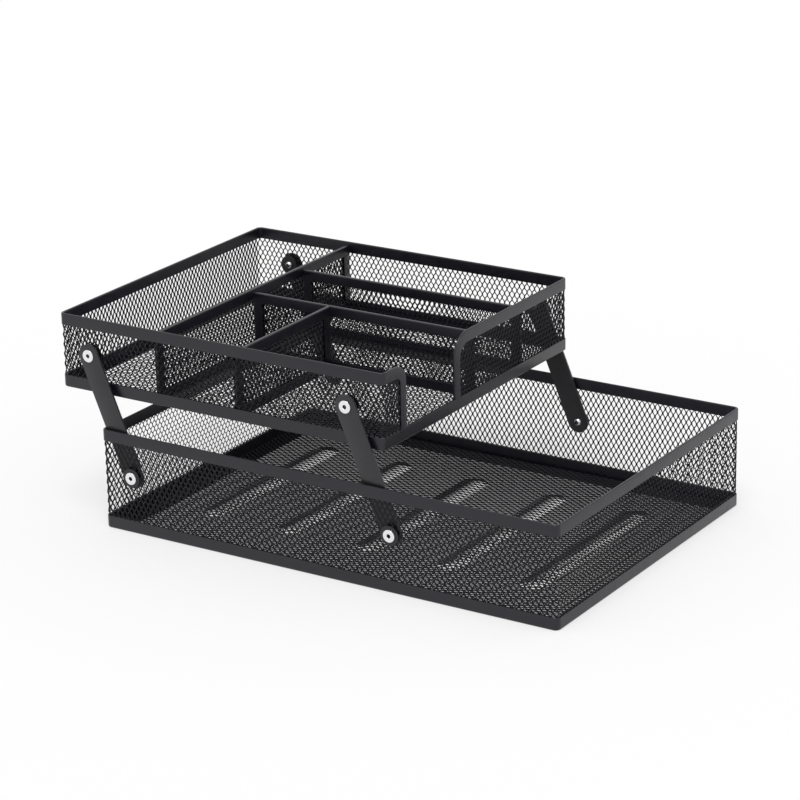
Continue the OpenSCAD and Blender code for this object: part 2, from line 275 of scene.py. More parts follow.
@dataclass(frozen=True)
class StudioPaper:
    """Matt white paper under the organizer, which shows as white and keeps a shadow."""

    name: str = "studio_paper"
    white: float = 0.86
    speck: float = 0.99
    lift: float = 0.52

    def material(self) -> bpy.types.Material:
        """Builds the paper's material.

        Returns:
            The material.
        """
        graph = Graph(self.name)
        plain = graph.add("ShaderNodeBsdfDiffuse")
        shown = graph.add("ShaderNodeBsdfDiffuse")
        glow = graph.add("ShaderNodeEmission")
        both = graph.add("ShaderNodeAddShader")
        mixed = graph.add("ShaderNodeMixShader")
        tooth = graph.ranged(graph.noise(1.5 * MM, 3.0), 0.0, 1.0)
        for face, tone in ((plain, self.white), (shown, 1.0 - self.lift)):
            graph.link(graph.blend(tooth, (tone,) * 3, (self.speck * tone,) * 3), face.inputs["Color"])
        glow.inputs["Strength"].default_value = self.lift
        graph.link(shown.outputs[0], both.inputs[0])
        graph.link(glow.outputs[0], both.inputs[1])
        graph.link(seen_straight(graph.tree), mixed.inputs[0])
        graph.link(plain.outputs[0], mixed.inputs[1])
        graph.link(both.outputs[0], mixed.inputs[2])
        return graph.finished(mixed.outputs[0])


def seen_straight(tree: bpy.types.NodeTree) -> bpy.types.NodeSocket:
    """Tells rays of the eye, of gloss and of glass from those that only light things.

    Args:
        tree: the tree to add the nodes to.

    Returns:
        A value that is 1 for what the eye sees straight, in gloss or through glass.
    """
    rays = tree.nodes.new("ShaderNodeLightPath")
    total = rays.outputs["Is Camera Ray"]
    for name in ("Is Glossy Ray", "Is Transmission Ray"):
        most = tree.nodes.new("ShaderNodeMath")
        most.operation = "MAXIMUM"
        tree.links.new(total, most.inputs[0])
        tree.links.new(rays.outputs[name], most.inputs[1])
        total = most.outputs[0]
    return total


@dataclass(frozen=True)
class Finishes:
    """Every finish of the organizer, made once."""

    rim: bpy.types.Material
    mesh: bpy.types.Material
    bar: bpy.types.Material
    washer: bpy.types.Material
    rivet: bpy.types.Material

    @classmethod
    def made(cls) -> "Finishes":
        """Makes the materials."""
        return cls(
            rim=PowderCoat("rim_coat").material(),
            # The sheets wear the black powder coat, painted darker than the rims' coat: partly the sheets'
            # real black and partly painted shade for the dim inside of the trays seen through the eyes.
            mesh=PowderCoat("mesh_coat", (0.0035, 0.003, 0.006), (0.0055, 0.005, 0.0085), sheen=0.22,
                            gloss_low=0.24, gloss_high=0.32, grain_depth=0.003 * MM).material(),
            # The links wear the black powder coat painted lighter than the rims' coat: painted light for
            # the links, which stand outside the trays and high up where more light falls.
            bar=PowderCoat("link_coat", (0.0155, 0.015, 0.018), (0.021, 0.0203, 0.024)).material(),
            washer=PowderCoat("washer_black", (0.006, 0.006, 0.0065), (0.009, 0.009, 0.0095),
                              gloss_low=0.42, gloss_high=0.55).material(),
            rivet=BrightZinc("rivet_steel").material(),
        )


# ---- Pieces ----


@dataclass(frozen=True)
class Dress:
    """What a finished piece wears, rides on and stands for."""

    body: str
    slot: str
    material: bpy.types.Material
    nodes: tuple
    shading: Shading = Shading.ROUNDED
    # Second material for faces marked 1; on the rivets it paints the hollow dark as painted shade.
    shaded: bpy.types.Material | None = None

    def put_on(self, name: str, bm: bmesh.types.BMesh) -> None:
        """Turns a bmesh into a finished piece of the organizer, with its place in its mesh.

        Args:
            name: the piece's name.
            bm: its shape, which is freed.
        """
        mesh = bpy.data.meshes.new(name)
        bm.to_mesh(mesh)
        bm.free()
        rounded = self.shading is Shading.ROUNDED
        mesh.polygons.foreach_set("use_smooth", [rounded] * len(mesh.polygons))
        if rounded:
            mesh.set_sharp_from_angle(angle=math.radians(self.shading.value))
        mesh.materials.append(self.material)
        if self.shaded is not None:
            mesh.materials.append(self.shaded)
        piece = placed(name, mesh)
        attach(piece, self.body)
        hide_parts(*self.nodes)
        log.info("%s: %d faces, rides on %s", name, len(mesh.polygons), self.body)


def closed_up(bm: bmesh.types.BMesh) -> bmesh.types.BMesh:
    """Welds a shape's doubles and turns its faces outwards.

    Args:
        bm: the shape.

    Returns:
        The same shape.
    """
    bmesh.ops.remove_doubles(bm, verts=bm.verts[:], dist=WELD)
    bmesh.ops.recalc_face_normals(bm, faces=bm.faces[:])
    return bm


def joined(parts: list) -> bmesh.types.BMesh:
    """Puts several shapes into one.

    Args:
        parts: the shapes, which are freed.

    Returns:
        The shape that holds them all.
    """
    whole = bmesh.new()
    carrier = bpy.data.meshes.new("carrier")
    for part in parts:
        part.to_mesh(carrier)
        part.free()
        whole.from_mesh(carrier)
    bpy.data.meshes.remove(carrier)
    return whole


# ---- Folded strip ----


@dataclass(frozen=True)
class Hem:
    """Section of a strip folded in two over the edge of the sheet, as measured across it."""

    depth: float
    width: float
    strip: float
    notch: float = 2.0 * MM
    cut_round: float = 0.12 * MM
    fold_round: float = 0.8 * MM

    def corners(self) -> list:
        """Gives the corners of the section.

        Returns:
            Tuples of inset, distance from the fold, and rounding of each corner.
        """
        low = -self.width
        fold = min(0.49 * self.depth, self.fold_round)
        return [
            (0.0, low, self.cut_round),
            (0.0, 0.0, fold),
            (self.depth, 0.0, fold),
            (self.depth, low, self.cut_round),
            (self.depth - self.strip, low, 0.0),
            (self.depth - self.strip, low + self.notch, 0.0),
            (self.strip, low + self.notch, 0.0),
            (self.strip, low, 0.0),
        ]


@dataclass(frozen=True)
class Foot:
    """Section of the strip folded up round a tray's bottom edge, with its ledge inwards."""

    depth: float
    height: float
    strip: float
    ledge: float
    heel: float = 1.2 * MM
    notch: float = 2.0 * MM
    cut_round: float = 0.12 * MM

    def corners(self) -> list:
        """Gives the corners of the section.

        Returns:
            Tuples of inset, height, and rounding of each corner.
        """
        reach = self.depth + self.ledge
        return [
            (0.0, self.height, self.cut_round),
            (0.0, 0.0, self.heel),
            (reach, 0.0, self.cut_round),
            (reach, self.strip, self.cut_round),
            (self.depth, self.strip, 0.0),
            (self.depth, self.height, self.cut_round),
            (self.depth - self.strip, self.height, 0.0),
            (self.depth - self.strip, self.height - self.notch, 0.0),
            (self.strip, self.height - self.notch, 0.0),
            (self.strip, self.height, 0.0),
        ]


class Run:
    """A section led along its path, one straight or bend at a time."""

    SMALL_ROUND = 0.5 * MM
    FOLD_STEPS = 5

    def __init__(self, corners: list, start: Vector, inwards: Vector, upwards: Vector) -> None:
        """Draws the section where the run starts.

        Args:
            corners: the section's corners, as Hem and Foot give them.
            start: place of the section's outer edge at zero height.
            inwards: direction of its inset.
            upwards: direction of its height.
        """
        self.bm = bmesh.new()
        points = [self.bm.verts.new(start + inwards * c[0] + upwards * c[1]) for c in corners]
        self.bm.faces.new(points)
        for size in sorted({c[2] for c in corners if c[2] > 0.0}):
            soft = [v for v, c in zip(points, corners) if c[2] == size]
            segments = 1 if size < self.SMALL_ROUND else self.FOLD_STEPS
            bmesh.ops.bevel(self.bm, geom=soft, offset=size, offset_type="OFFSET", affect="VERTICES",
                            segments=segments, profile=0.5, material=-1)
        bmesh.ops.delete(self.bm, geom=self.bm.faces[:], context="FACES_ONLY")
        self.first = self.bm.edges[:]
        self.last = self.first

    def ring(self) -> list:
        """Gives the vertices of the section at the run's end."""
        return list({v for e in self.last for v in e.verts})

    def straight(self, way: Vector) -> "Run":
        """Leads the section straight on.

        Args:
            way: how far and where to.

        Returns:
            The run itself.
        """
        made = bmesh.ops.extrude_edge_only(self.bm, edges=self.last)["geom"]
        fresh = set(vertices_of(made))
        self.last = [g for g in made if isinstance(g, bmesh.types.BMEdge) and set(g.verts) <= fresh]
        bmesh.ops.translate(self.bm, verts=list(fresh), vec=way)
        return self

    def bend(self, centre: Vector, axis: Vector, angle: float, steps: int,
             to_share: float = 1.0) -> "Run":
        """Leads the section round a bend, and lets its width change on the way.

        Args:
            centre: centre of the bend.
            axis: axis of the bend.
            angle: angle of the bend, in radians.
            steps: how many steps it has.
            to_share: the section's width after the bend, as a share of its width before it.

        Returns:
            The run itself.
        """
        for step in range(steps):
            made = bmesh.ops.spin(self.bm, geom=self.ring() + list(self.last), cent=centre, axis=axis,
                                  angle=angle / steps, steps=1, use_merge=False, use_duplicate=False)
            self.last = [g for g in made["geom_last"] if isinstance(g, bmesh.types.BMEdge)]
            if to_share != 1.0:
                now = 1.0 + (to_share - 1.0) * (step + 1) / steps
                before = 1.0 + (to_share - 1.0) * step / steps
                self._squeeze(centre, axis, now / before)
        return self

    def _squeeze(self, centre: Vector, axis: Vector, share: float) -> None:
        """Draws the end's vertices towards the outside of a bend."""
        arms = {v: (v.co - centre) - axis * (v.co - centre).dot(axis) for v in self.ring()}
        outside = max(arm.length for arm in arms.values())
        for v, arm in arms.items():
            wanted = outside - (outside - arm.length) * share
            v.co += arm.normalized() * (wanted - arm.length)

    def from_start(self) -> "Run":
        """Goes on from the run's first section, the other way."""
        self.last = self.first
        return self

    def capped(self) -> "Run":
        """Closes the section at the end that was reached last."""
        bmesh.ops.contextual_create(self.bm, geom=list(self.last))
        return self

    def closed(self) -> bmesh.types.BMesh:
        """Ends the run and gives its shape."""
        return closed_up(self.bm)


@dataclass(frozen=True)
class Outline:
    """A tray's outside seen from above, a rectangle with round corners."""

    low: Vector
    high: Vector
    corner: float
    steps: int = 6

    def bends(self) -> list:
        """Gives the corners' centres, clockwise from the one at the front on the near side."""
        x0, x1 = self.low.x + self.corner, self.high.x - self.corner
        y0, y1 = self.low.y + self.corner, self.high.y - self.corner
        return [Vector((x1, y0, 0)), Vector((x0, y0, 0)), Vector((x0, y1, 0)), Vector((x1, y1, 0))]

    def led_round(self, run: Run, from_y: float, to_y: float) -> Run:
        """Leads a run round the tray, clockwise, from one place on the front wall to another.

        Args:
            run: the run, whose section stands on the front wall.
            from_y: where it stands.
            to_y: where it ends.

        Returns:
            The run itself.
        """
        here = Vector((self.bends()[0].x, from_y, 0))
        for centre, way in zip(self.bends(), CLOCKWISE):
            run.straight(way * (centre - here).dot(way))
            run.bend(centre, UP, -math.pi / 2, self.steps)
            here = centre
        return run.straight(Vector((0, to_y - here.y, 0)))


# ---- Expanded sheet ----

CLAMPED_LEAN = 0.35
CLAMP_EASE = 2.5 * MM


@dataclass(frozen=True)
class ExpandedSheet:
    """Sheet that was slit and stretched: p is the long way of its eyes, q the short way.

    A knot is where two strands meet. Its strands lean, so that the sheet stands thicker than its
    gauge, and every strand is a parallelogram between two knots.
    """

    long_way: float = 6.8 * MM
    short_way: float = 4.0 * MM
    eye_l: float = 5.0 * MM
    eye_w: float = 2.85 * MM
    knot_l: float = 1.4 * MM
    gauge: float = 0.5 * MM
    lean: float = 0.33 * MM

    def turned_over(self) -> "ExpandedSheet":
        """Gives the same sheet with its other face outwards."""
        return replace(self, lean=-self.lean)

    def knot(self) -> bmesh.types.BMesh:
        """Makes one knot and the two strands that leave it forwards, about the origin.

        Returns:
            The shape, flat along X and Y, with p along X.
        """
        bm = bmesh.new()
        tip = (self.long_way - self.eye_l) / 2
        half = self.knot_l / 2
        rise = (self.short_way - self.eye_w) / 2
        ring = [(tip, 0, 0), (half, rise, self.lean), (-half, rise, self.lean),
                (-tip, 0, 0), (-half, -rise, -self.lean), (half, -rise, -self.lean)]
        points = [bm.verts.new(p) for p in ring]
        bm.faces.new(points)
        reach = self.long_way / 2 - tip - half
        for turn, corner in ((1, points[1]), (-1, points[5])):
            edge = bm.edges.get((points[0], corner))
            made = bmesh.ops.extrude_edge_only(bm, edges=[edge])["geom"]
            bmesh.ops.translate(bm, verts=vertices_of(made),
                                vec=(reach, turn * (self.short_way / 2 - rise), -turn * self.lean))
        return bm

    def repeat(self, bm: bmesh.types.BMesh, step: Vector, count: int) -> None:
        """Copies a shape so that it stands in a row.

        Args:
            bm: the shape.
            step: from one copy to the next.
            count: how many stand there in the end.
        """
        each = len(bm.faces)
        done = 1
        while done < count:
            more = min(done, count - done)
            bm.faces.ensure_lookup_table()
            made = bmesh.ops.duplicate(bm, geom=bm.faces[: more * each])["geom"]
            bmesh.ops.translate(bm, verts=vertices_of(made), vec=step * done)
            done += more

    def field_of(self, columns: int, rows: int) -> bmesh.types.BMesh:
        """Makes a flat field of knots, two for each eye length and width.

        Args:
            columns: eye lengths along p.
            rows: eye widths along q.

        Returns:
            The field, from the origin on.
        """
        bm = self.knot()
        self.repeat(bm, Vector((self.long_way / 2, self.short_way / 2, 0)), 2)
        self.repeat(bm, Vector((self.long_way, 0, 0)), columns)
        self.repeat(bm, Vector((0, self.short_way, 0)), rows)
        bmesh.ops.remove_doubles(bm, verts=bm.verts[:], dist=WELD)
        return bm

    def trimmed(self, bm: bmesh.types.BMesh, at: float, way: Vector) -> None:
        """Cuts away what lies past a line.

        Args:
            bm: the sheet, still flat.
            at: distance of the line from the origin.
            way: direction in which it is past.
        """
        everything = bm.verts[:] + bm.edges[:] + bm.faces[:]
        bmesh.ops.bisect_plane(bm, geom=everything, dist=WELD, plane_co=way * at, plane_no=way,
                               clear_outer=True)

    def panel(self, size_p: float, size_q: float) -> bmesh.types.BMesh:
        """Makes a flat sheet of a size, centred on the origin.

        Args:
            size_p: its size the long way of the eyes.
            size_q: its size the short way.

        Returns:
            The sheet, which has no thickness yet.
        """
        columns = math.ceil(size_p / self.long_way) + 2
        rows = math.ceil(size_q / self.short_way) + 2
        bm = self.field_of(columns, rows)
        bmesh.ops.translate(bm, verts=bm.verts[:],
                            vec=(-columns * self.long_way / 2, -rows * self.short_way / 2, 0))
        for way, size in ((FORWARD, size_p), (ACROSS, size_q)):
            self.trimmed(bm, size / 2, way)
            self.trimmed(bm, size / 2, -way)
        return bm

    def thick(self, bm: bmesh.types.BMesh) -> bmesh.types.BMesh:
        """Gives a sheet its gauge, half to each side.

        Args:
            bm: the sheet, which is freed.

        Returns:
            The closed sheet.
        """
        mesh = bpy.data.meshes.new("sheet")
        bm.to_mesh(mesh)
        bm.free()
        holder = placed("sheet", mesh)
        solid = holder.modifiers.new("gauge", "SOLIDIFY")
        solid.thickness = self.gauge
        solid.offset = 0.0
        done = holder.evaluated_get(bpy.context.evaluated_depsgraph_get()).to_mesh()
        result = bmesh.new()
        result.from_mesh(done)
        bpy.data.objects.remove(holder)
        bpy.data.meshes.remove(mesh)
        return result


def smooth_step(value: float) -> float:
    """Eases a share from 0 to 1, and holds it outside that range."""
    share = min(max(value, 0.0), 1.0)
    return share * share * (3.0 - 2.0 * share)


def kept_lean(free: float) -> float:
    """Tells how much of their lean strands keep near a strip, which presses them flat.

    Args:
        free: how far they stand from the strip.

    Returns:
        The share that they keep.
    """
    return CLAMPED_LEAN + (1.0 - CLAMPED_LEAN) * smooth_step(free / CLAMP_EASE)


@dataclass(frozen=True)
class WrappedWall:
    """A strip of expanded sheet bent round the corners of a tray, clockwise from the front wall."""

    outline: Outline
    inset: float
    low: float
    high: float
    clamp_low: float
    clamp_high: float
    from_y: float
    to_y: float

    def legs(self) -> list:
        """Lists the straights and bends in the middle of the sheet.

        Returns:
            Tuples of length, start or centre, direction or start angle, and whether it bends.
        """
        radius = self.outline.corner - self.inset
        outs = CLOCKWISE[-1:] + CLOCKWISE[:-1]
        legs = []
        bends = self.outline.bends()
        here = Vector((bends[0].x, self.from_y, 0)) + outs[0] * radius
        for turn, (centre, way, out) in enumerate(zip(bends, CLOCKWISE, outs)):
            end = centre + out * radius
            legs.append(((end - here).dot(way), here, way, False))
            legs.append((radius * math.pi / 2, centre, out, True))
            here = centre + outs[(turn + 1) % 4] * radius
        legs.append((here.y - self.to_y, here, CLOCKWISE[0], False))
        return legs

    def place(self, legs: list, along: float, out: float) -> Vector:
        """Finds a point of the bent sheet.

        Args:
            legs: what legs() gave.
            along: distance along the sheet.
            out: distance outwards from its middle.

        Returns:
            The point, at height zero.
        """
        for number, (length, start, way, bends) in enumerate(legs):
            if along <= length or number == len(legs) - 1:
                break
            along -= length
        if bends:
            radius = length / (math.pi / 2)
            turned = Matrix.Rotation(-along / radius, 3, "Z") @ way
            return start + turned * (radius + out)
        outwards = Vector((-way.y, way.x, 0))
        return start + way * along + outwards * out

    def made(self, sheet: ExpandedSheet) -> bmesh.types.BMesh:
        """Makes the wall.

        Args:
            sheet: the expanded sheet that it is cut from.

        Returns:
            The closed wall.
        """
        legs = self.legs()
        total = sum(leg[0] for leg in legs)
        closed = abs(self.from_y - self.to_y) < WELD
        if closed:
            rows = round(total / sheet.short_way)
            columns = math.ceil((self.high - self.low) / sheet.long_way) + 2
            bm = sheet.field_of(columns, rows)
            share = total / (rows * sheet.short_way)
            bmesh.ops.translate(bm, verts=bm.verts[:], vec=(-columns * sheet.long_way / 2, 0, 0))
            bmesh.ops.scale(bm, verts=bm.verts[:], vec=(1, share, 1))
            for way in (1, -1):
                sheet.trimmed(bm, (self.high - self.low) / 2, FORWARD * way)
        else:
            bm = sheet.panel(self.high - self.low, total)
            bmesh.ops.translate(bm, verts=bm.verts[:], vec=(0, total / 2, 0))
        for v in bm.verts:
            height = (self.high + self.low) / 2 + v.co.x
            lean = kept_lean(min(height - self.clamp_low, self.clamp_high - height))
            along = v.co.y % total if closed else v.co.y
            v.co = self.place(legs, along, v.co.z * lean) + UP * height
        bmesh.ops.remove_doubles(bm, verts=bm.verts[:], dist=WELD)
        return sheet.thick(bm)


# ---- Rivets, washers and links ----


@dataclass(frozen=True)
class Turned:
    """A turned part: its outline, spun round an axis across the organizer."""

    outline: tuple
    steps: int = 40
    # Faces inside this radius on the outer side take the second material: painted shade in a rivet's
    # hollow.
    bore: float = 0.0

    def at(self, pivot: Vector, side: Side) -> bmesh.types.BMesh:
        """Spins the part on one of the two sides.

        Args:
            pivot: a point of its axis, at the middle plane.
            side: the side that its outer end points to.

        Returns:
            The part.
        """
        bm = bmesh.new()
        points = [bm.verts.new(pivot + Vector((r, side.value * d, 0))) for r, d in self.outline]
        edges = [bm.edges.new(pair) for pair in zip(points, points[1:])]
        bmesh.ops.spin(bm, geom=points + edges, cent=pivot, axis=(0, 1, 0), angle=2 * math.pi,
                       steps=self.steps, use_merge=True, use_duplicate=False)
        # Painted shade: the faces of the hollow take the dark second material.
        for face in bm.faces:
            off = face.calc_center_median() - pivot
            if side.value * off.y > 0 and math.hypot(off.x, off.z) < self.bore:
                face.material_index = 1
        return closed_up(bm)


def arc(centre: tuple, radius: float, start: float, end: float, steps: int) -> list:
    """Lists points of an arc in an outline.

    Args:
        centre: its centre.
        radius: its radius.
        start: angle of its first point, in degrees.
        end: angle of its last point, in degrees.
        steps: how many steps it has.

    Returns:
        The points.
    """
    turns = [math.radians(start + (end - start) * n / steps) for n in range(steps + 1)]
    return [(centre[0] + radius * math.cos(t), centre[1] + radius * math.sin(t)) for t in turns]


@dataclass(frozen=True)
class Rivet:
    """Hollow rivet, by distances from the middle plane: a pressed head outside, a round end inside."""

    inner: float
    outer: float
    shank_d: float = 4.0 * MM
    head_d: float = 8.6 * MM
    head_t: float = 0.8 * MM
    hole_d: float = 2.7 * MM
    hole_h: float = 1.8 * MM
    hole_round: float = 0.1 * MM
    seat: float = 0.05 * MM
    lip: float = 0.35 * MM
    dome_d: float = 5.4 * MM
    dome_h: float = 2.1 * MM

    def turned(self) -> Turned:
        """Draws the rivet's outline from the bottom of its hole to the tip of its round end.

        Returns:
            The turned part.
        """
        top = self.outer + self.head_t
        hole, head = self.hole_d / 2, self.head_d / 2
        edge = self.head_t / 2
        dome = (self.dome_d ** 2 / 4 + self.dome_h ** 2) / (2 * self.dome_h)
        tip = self.inner - self.dome_h + dome
        reach = math.degrees(math.asin(self.dome_d / 2 / dome))
        # The hole's faces are painted with the black washer coat as painted shade in the hollow.
        return Turned((
            (0.0, top - self.hole_h), (hole - self.hole_round, top - self.hole_h),
            (hole, top - self.hole_h + self.hole_round),
            *arc((hole + self.lip, top - self.lip), self.lip, 180, 90, 4),
            *arc((head - edge, top - edge), edge, 78, 0, 4),
            (head - self.seat, self.outer), (self.shank_d / 2, self.outer), (self.shank_d / 2, self.inner),
            *arc((0.0, tip), dome, -90 + reach, -90, 7),
        ), bore=hole + 0.02 * MM)


@dataclass(frozen=True)
class Washer:
    """Flat ring with rounded edges, by distances from the middle plane."""

    inner: float
    outer: float
    outside_d: float = 13.5 * MM
    bore_d: float = 4.0 * MM
    edge: float = 0.2 * MM

    def turned(self) -> Turned:
        """Draws the ring's outline."""
        r, bore, e = self.outside_d / 2, self.bore_d / 2, self.edge
        return Turned((
            (bore, self.inner), *arc((r - e, self.inner + e), e, -90, 0, 3),
            *arc((r - e, self.outer - e), e, 0, 90, 3), (bore, self.outer), (bore, self.inner),
        ))


@dataclass(frozen=True)
class LinkBar:
    """Flat bar with round ends between two pivots."""

    foot: Vector
    head: Vector
    width: float
    thickness: float
    edge: float = 0.22 * MM
    steps: int = 20

    def made(self) -> bmesh.types.BMesh:
        """Cuts the bar's outline, gives it its thickness and breaks its edges.

        Returns:
            The bar.
        """
        bm = bmesh.new()
        along = (self.head - self.foot).normalized()
        wide = along.cross(ACROSS) * self.width / 2
        back = ACROSS * self.thickness / 2
        for centre, way in ((self.foot, -wide), (self.head, wide)):
            corner = bm.verts.new(centre + way - back)
            bmesh.ops.spin(bm, geom=[corner], cent=centre - back, axis=ACROSS, angle=math.pi,
                           steps=self.steps, use_merge=False, use_duplicate=False)
        ends = [v for v in bm.verts if len(v.link_edges) == 1]
        for one in ends:
            others = [v for v in ends if v is not one]
            other = min(others, key=lambda v: (v.co - one.co).cross(along).length)
            if bm.edges.get((one, other)) is None:
                bm.edges.new((one, other))
        face = bmesh.ops.contextual_create(bm, geom=bm.edges[:])["faces"]
        made = bmesh.ops.extrude_face_region(bm, geom=face)["geom"]
        bmesh.ops.translate(bm, verts=vertices_of(made), vec=ACROSS * self.thickness)
        rims = [e for e in bm.edges if abs((e.verts[0].co - e.verts[1].co).y) < WELD]
        bmesh.ops.bevel(bm, geom=rims, offset=self.edge, offset_type="OFFSET", affect="EDGES",
                        segments=2, profile=0.5, material=-1)
        return closed_up(bm)


# ---- The two trays ----


@dataclass
class Tray:
    """What both trays have: its boxes in the model, and the pieces that are drawn from them."""

    finishes: Finishes
    name: str = "tray"
    sheet: ExpandedSheet = ExpandedSheet()
    base_sheet: ExpandedSheet = ExpandedSheet(eye_l=5.4 * MM, eye_w=3.3 * MM, knot_l=0.8 * MM,
                                              gauge=0.42 * MM, lean=0.6 * MM)
    ledge: float = 4.0 * MM
    rim_width: float = 8.0 * MM
    tuck: float = 3.0 * MM
    base_gap: float = 1.0 * MM

    def __post_init__(self) -> None:
        """Reads the tray's sizes from the model."""
        self.body = self.name + "_tray"
        self.foot_low, self.foot_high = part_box(self.name + "_bottom_rim")
        self.rim_low, self.rim_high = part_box(self.name + "_top_rim")
        base_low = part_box(self.name + "_base_mesh")[0]
        rear_low, rear_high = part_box(self.name + "_wall_rear")
        self.strip = base_low.z - self.foot_low.z
        self.band = base_low.x - self.foot_low.x
        self.mesh_t = rear_high.x - rear_low.x
        corner = (self.foot_high.y - self.foot_low.y - (rear_high.y - rear_low.y)) / 2
        self.outline = Outline(self.foot_low, self.foot_high, corner)
        self.middle = (self.foot_low + self.foot_high) / 2
        self.top = self.rim_high.z
        self.base_level = self.foot_low.z + self.strip + self.mesh_t / 2

    def put_strip(self, name: str, bm: bmesh.types.BMesh, *nodes: str) -> None:
        """Adds a piece of folded strip.

        Args:
            name: the piece's name.
            bm: its shape.
            nodes: the model's nodes that it stands for.
        """
        Dress(self.body, "rim_coat", self.finishes.rim, nodes).put_on(name, bm)

    def put_sheet(self, name: str, bm: bmesh.types.BMesh, *nodes: str) -> None:
        """Adds a piece of expanded sheet.

        Args:
            name: the piece's name.
            bm: its shape.
            nodes: the model's nodes that it stands for.
        """
        Dress(self.body, "mesh_coat", self.finishes.mesh, nodes, Shading.FACETED).put_on(name, bm)

    def foot_strip(self) -> None:
        """Leads the bottom strip round the tray."""
        section = Foot(self.band, self.foot_high.z - self.foot_low.z, self.strip, self.ledge)
        start = Vector((self.foot_high.x, self.middle.y, self.foot_low.z))
        run = Run(section.corners(), start, -FORWARD, UP)
        self.outline.led_round(run, self.middle.y, self.middle.y)
        self.put_strip(self.name + "_foot_strip", run.closed(),
                       self.name + "_bottom_rim", self.name + "_ledge")

    def base_panel(self) -> bmesh.types.BMesh:
        """Cuts the base from expanded sheet, the long way of its eyes along the tray.

        Returns:
            The flat sheet in its place, without thickness.
        """
        margin = self.band + self.base_gap
        size = self.foot_high - self.foot_low
        bm = self.base_sheet.panel(size.x - 2 * margin, size.y - 2 * margin)
        for v in bm.verts:
            inside = min(size.x / 2 - abs(v.co.x), size.y / 2 - abs(v.co.y)) - self.band - self.ledge
            v.co.z *= kept_lean(inside + CLAMP_EASE)
        bmesh.ops.translate(bm, verts=bm.verts[:], vec=(self.middle.x, self.middle.y, self.base_level))
        return bm

    def wall_strip(self, from_y: float, to_y: float, *nodes: str) -> None:
        """Bends the wall's strip of expanded sheet round the tray.

        Args:
            from_y: where it starts on the front wall.
            to_y: where it ends on the front wall.
            nodes: the model's walls that it stands for.
        """
        foot_top = self.foot_high.z
        rim_bottom = self.top - self.rim_width
        wall = WrappedWall(self.outline, self.band / 2, foot_top - self.tuck, rim_bottom + self.tuck,
                           foot_top, rim_bottom, from_y, to_y)
        self.put_sheet(self.name + "_wall_sheet", wall.made(self.sheet), *nodes)


@dataclass
class LowerTray(Tray):
    """The paper tray that the links stand on."""

    name: str = "lower"
    rib_count: int = 5
    rib_pitch: float = 62.5 * MM
    rib_w: float = 17.0 * MM
    rib_l: float = 150.0 * MM
    rib_h: float = 1.7 * MM
    seam_w: float = 5.0 * MM
    seam_h: float = 2.6 * MM
    seam_notch: float = 0.4 * MM
    seam_proud: float = 0.12 * MM
    border_w: float = 10.5 * MM
    border_ease: float = 1.5 * MM
    border_stand: float = 1.5

    def build(self) -> None:
        """Builds every piece of the tray but its rivets and washers."""
        self.foot_strip()
        self.rim_strip()
        self.wall_strip(0.0, 0.0, "lower_wall_near", "lower_wall_far", "lower_wall_rear",
                        "lower_wall_front", "lower_wall_bends")
        self.ribbed_base()

    def rim_strip(self) -> None:
        """Leads the top strip round the tray and laps its two ends on the near side."""
        hem = Hem(self.band, self.rim_width, self.strip)
        run = Run(hem.corners(), Vector((self.foot_high.x, 0, self.top)), -FORWARD, UP)
        self.outline.led_round(run, 0.0, 0.0)
        self.put_strip("lower_rim_strip", joined([run.closed(), self.seam()]), "lower_top_rim")

    def seam(self) -> bmesh.types.BMesh:
        """Makes the short sleeve over the joint of the strip, in the middle of the near side."""
        proud = self.seam_proud
        lap = Hem(self.band + 2 * proud, self.seam_h, self.strip, self.seam_notch)
        start = Vector((self.middle.x - self.seam_w / 2, self.foot_low.y - proud, self.top + proud))
        run = Run(lap.corners(), start, ACROSS, UP).capped()
        run.from_start().straight(FORWARD * self.seam_w).capped()
        return run.closed()

    def rib_rise(self, x: float, y: float) -> float:
        """Tells how far the pressed ribs lift the base.

        Args:
            x: place along the tray.
            y: place across it.

        Returns:
            The lift.
        """
        nearest = round((x - self.middle.x) / self.rib_pitch)
        limit = (self.rib_count - 1) // 2
        centre = self.middle.x + max(-limit, min(limit, nearest)) * self.rib_pitch
        past = max(abs(y) - (self.rib_l - self.rib_w) / 2, 0.0)
        away = math.hypot(x - centre, past)
        radius = (self.rib_w ** 2 / 4 + self.rib_h ** 2) / (2 * self.rib_h)
        if away >= self.rib_w / 2:
            return 0.0
        return math.sqrt(radius ** 2 - away ** 2) - radius + self.rib_h

    def ribbed_base(self) -> None:
        """Stands the strands up along the rear and far walls, and presses the ribs into the base."""
        bm = self.base_panel()
        level = self.base_level
        for v in bm.verts:
            inside = min(v.co.x - self.foot_low.x, self.foot_high.y - v.co.y) - self.band - self.ledge
            past = smooth_step((inside - self.border_w) / self.border_ease + 0.5)
            stand = self.border_stand + (1.0 - self.border_stand) * past
            v.co.z = level + (v.co.z - level) * stand + self.rib_rise(v.co.x, v.co.y)
        self.put_sheet("lower_base_sheet", self.base_sheet.thick(bm), "lower_base_mesh")


